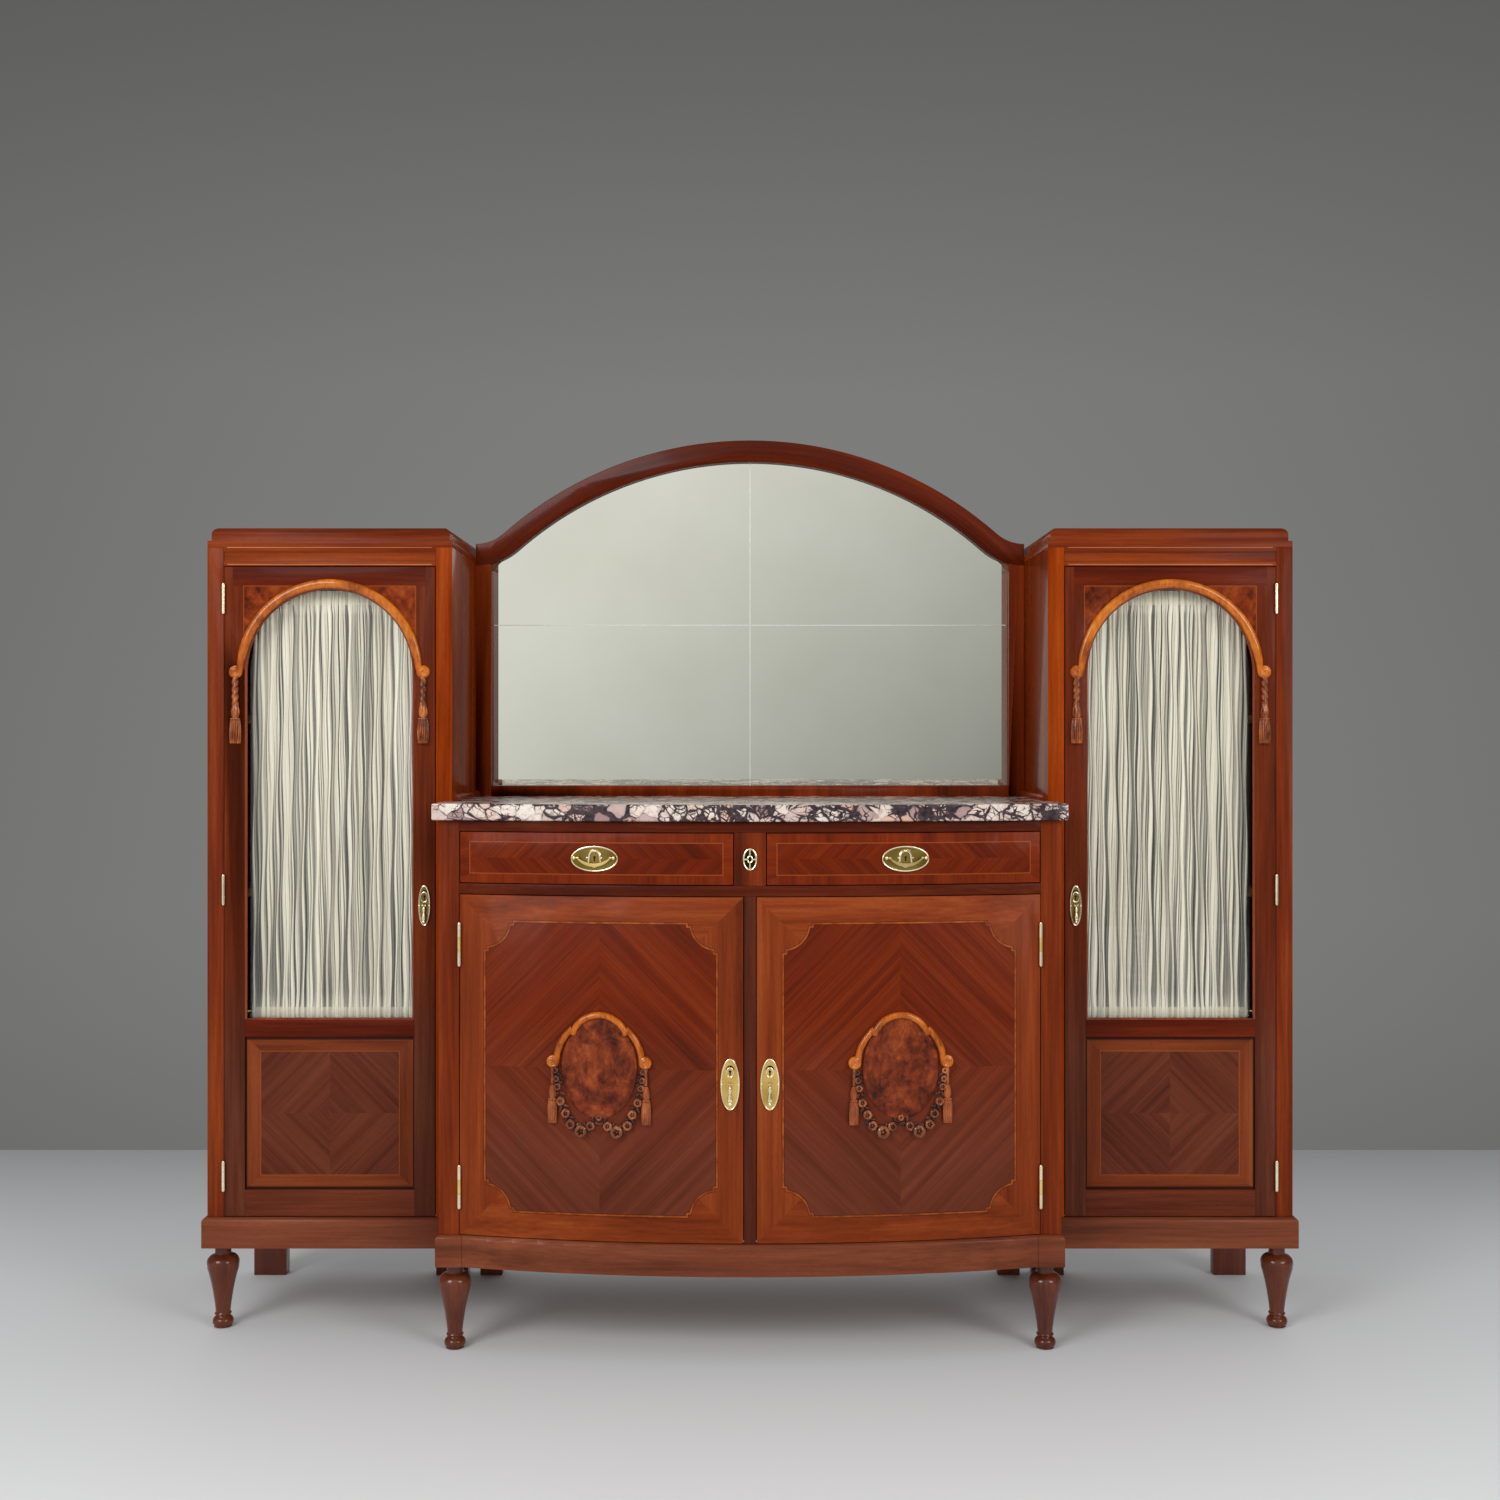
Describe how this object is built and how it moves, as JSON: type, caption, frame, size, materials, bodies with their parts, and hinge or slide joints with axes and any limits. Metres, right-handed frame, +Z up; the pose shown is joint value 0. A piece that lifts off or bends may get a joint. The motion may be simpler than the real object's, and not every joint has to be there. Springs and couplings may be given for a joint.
{
  "type": "display sideboard cabinet",
  "caption": "Mahogany sideboard with tall glazed side cabinets, bow-fronted cupboard and drawers, marble top and arched mirror, on turned legs.",
  "frame": {"origin": "on the floor, at the middle of the cabinet's width and depth", "axes": "+X to the right seen from the front, +Y towards the back, +Z up"},
  "size_m": [2.066, 0.548, 1.729],
  "materials": {
    "mahogany": "french polished",
    "mahogany_veneer": "french polished figured veneer",
    "interior_wood": "waxed",
    "honey_carving": "polished carved",
    "drawer_lining": "plain",
    "marble": "polished brecciated marble",
    "mirror": "bevelled silvered plate",
    "glass": "clear",
    "brass": "worn polished",
    "steel": "plain",
    "curtain": "sheer gathered"
  },
  "bodies": {
    "carcass": {"side_cabinet_outer_sides": "mahogany", "side_cabinet_inner_sides": "mahogany", "side_cabinet_cornices": "mahogany", "side_cabinet_floors": "interior_wood", "side_cabinet_shelves": "interior_wood", "side_cabinet_plinths": "mahogany", "back_panels": "interior_wood", "cupboard_sides": "mahogany", "cupboard_floor": "interior_wood", "cupboard_shelf": "interior_wood", "cupboard_plinth": "mahogany", "cupboard_top_board": "mahogany", "door_post": "mahogany", "drawer_board": "mahogany", "drawer_divider": "mahogany", "drawer_guides": "interior_wood", "marble_top": "marble", "mirror_frame": "mahogany", "mirror_arch": "mahogany", "mirror_panes": "mirror", "mirror_back": "interior_wood", "front_legs": "mahogany", "back_feet": "mahogany", "side_cabinet_hinges": "brass", "cupboard_hinges": "brass", "centre_escutcheon": "brass"},
    "right_glazed_door": {"right_glazed_door_frame": "mahogany_veneer", "right_glazed_door_glass": "glass", "right_glazed_door_panel": "mahogany_veneer", "right_glazed_door_curtain": "curtain", "right_glazed_door_carving": "honey_carving", "right_glazed_door_brass": "brass"},
    "right_glazed_pull": {"right_glazed_door_pull": "brass"},
    "right_glazed_bolt": {"right_glazed_door_bolt": "steel"},
    "right_cupboard_door": {"right_cupboard_door_panel": "mahogany_veneer", "right_cupboard_door_carving": "honey_carving", "right_cupboard_door_brass": "brass"},
    "right_cupboard_pull": {"right_cupboard_door_pull": "brass"},
    "right_cupboard_bolt": {"right_cupboard_door_bolt": "steel"},
    "right_drawer": {"right_drawer_front": "mahogany_veneer", "right_drawer_box": "drawer_lining", "right_drawer_handle_plate": "brass"},
    "right_bail": {"right_drawer_bail": "brass"},
    "left_glazed_door": {"left_glazed_door_frame": "mahogany_veneer", "left_glazed_door_glass": "glass", "left_glazed_door_panel": "mahogany_veneer", "left_glazed_door_curtain": "curtain", "left_glazed_door_carving": "honey_carving", "left_glazed_door_brass": "brass"},
    "left_glazed_pull": {"left_glazed_door_pull": "brass"},
    "left_glazed_bolt": {"left_glazed_door_bolt": "steel"},
    "left_cupboard_door": {"left_cupboard_door_panel": "mahogany_veneer", "left_cupboard_door_carving": "honey_carving", "left_cupboard_door_brass": "brass"},
    "left_cupboard_pull": {"left_cupboard_door_pull": "brass"},
    "left_cupboard_bolt": {"left_cupboard_door_bolt": "steel"},
    "left_drawer": {"left_drawer_front": "mahogany_veneer", "left_drawer_box": "drawer_lining", "left_drawer_handle_plate": "brass"},
    "left_bail": {"left_drawer_bail": "brass"}
  },
  "joints": [
    {"name": "right_glazed_door_swing", "type": "hinge", "parent": "carcass", "child": "right_glazed_door", "pos_m": [0.9926, -0.0898, 0.81], "axis": [0, 0, 1], "range_deg": [0, 105]},
    {"name": "right_cupboard_door_swing", "type": "hinge", "parent": "carcass", "child": "right_cupboard_door", "pos_m": [0.5286, -0.2041, 0.52], "axis": [0, 0, 1], "range_deg": [0, 100]},
    {"name": "right_drawer_slide", "type": "slide", "parent": "carcass", "child": "right_drawer", "axis": [0, -1, 0], "range_m": [0, 0.3]},
    {"name": "right_bail_swing", "type": "hinge", "parent": "right_drawer", "child": "right_bail", "pos_m": [0.27964, -0.25094, 0.9045], "axis": [-0.993, -0.118, 0], "range_deg": [-8, 80]},
    {"name": "right_glazed_pull_swing", "type": "hinge", "parent": "right_glazed_door", "child": "right_glazed_pull", "pos_m": [0.614, -0.093, 0.80376], "axis": [-1, 0, 0], "range_deg": [0, 60]},
    {"name": "right_cupboard_pull_swing", "type": "hinge", "parent": "right_cupboard_door", "child": "right_cupboard_pull", "pos_m": [0.0356, -0.26673, 0.50192], "axis": [-0.9999, -0.015, 0], "range_deg": [0, 60]},
    {"name": "right_glazed_bolt_slide", "type": "slide", "parent": "right_glazed_door", "child": "right_glazed_bolt", "axis": [-1, 0, 0], "range_m": [0, 0.007]},
    {"name": "right_cupboard_bolt_slide", "type": "slide", "parent": "right_cupboard_door", "child": "right_cupboard_bolt", "axis": [-1, 0, 0], "range_m": [0, 0.007]},
    {"name": "left_glazed_door_swing", "type": "hinge", "parent": "carcass", "child": "left_glazed_door", "pos_m": [-0.9926, -0.0898, 0.81], "axis": [0, 0, -1], "range_deg": [0, 105]},
    {"name": "left_cupboard_door_swing", "type": "hinge", "parent": "carcass", "child": "left_cupboard_door", "pos_m": [-0.5286, -0.2041, 0.52], "axis": [0, 0, -1], "range_deg": [0, 100]},
    {"name": "left_drawer_slide", "type": "slide", "parent": "carcass", "child": "left_drawer", "axis": [0, -1, 0], "range_m": [0, 0.3]},
    {"name": "left_bail_swing", "type": "hinge", "parent": "left_drawer", "child": "left_bail", "pos_m": [-0.27964, -0.25094, 0.9045], "axis": [-0.993, 0.118, 0], "range_deg": [-8, 80]},
    {"name": "left_glazed_pull_swing", "type": "hinge", "parent": "left_glazed_door", "child": "left_glazed_pull", "pos_m": [-0.614, -0.093, 0.80376], "axis": [-1, 0, 0], "range_deg": [0, 60]},
    {"name": "left_cupboard_pull_swing", "type": "hinge", "parent": "left_cupboard_door", "child": "left_cupboard_pull", "pos_m": [-0.0356, -0.26673, 0.50192], "axis": [-0.9999, 0.015, 0], "range_deg": [0, 60]},
    {"name": "left_glazed_bolt_slide", "type": "slide", "parent": "left_glazed_door", "child": "left_glazed_bolt", "axis": [1, 0, 0], "range_m": [0, 0.007]},
    {"name": "left_cupboard_bolt_slide", "type": "slide", "parent": "left_cupboard_door", "child": "left_cupboard_bolt", "axis": [1, 0, 0], "range_m": [0, 0.007]}
  ]
}
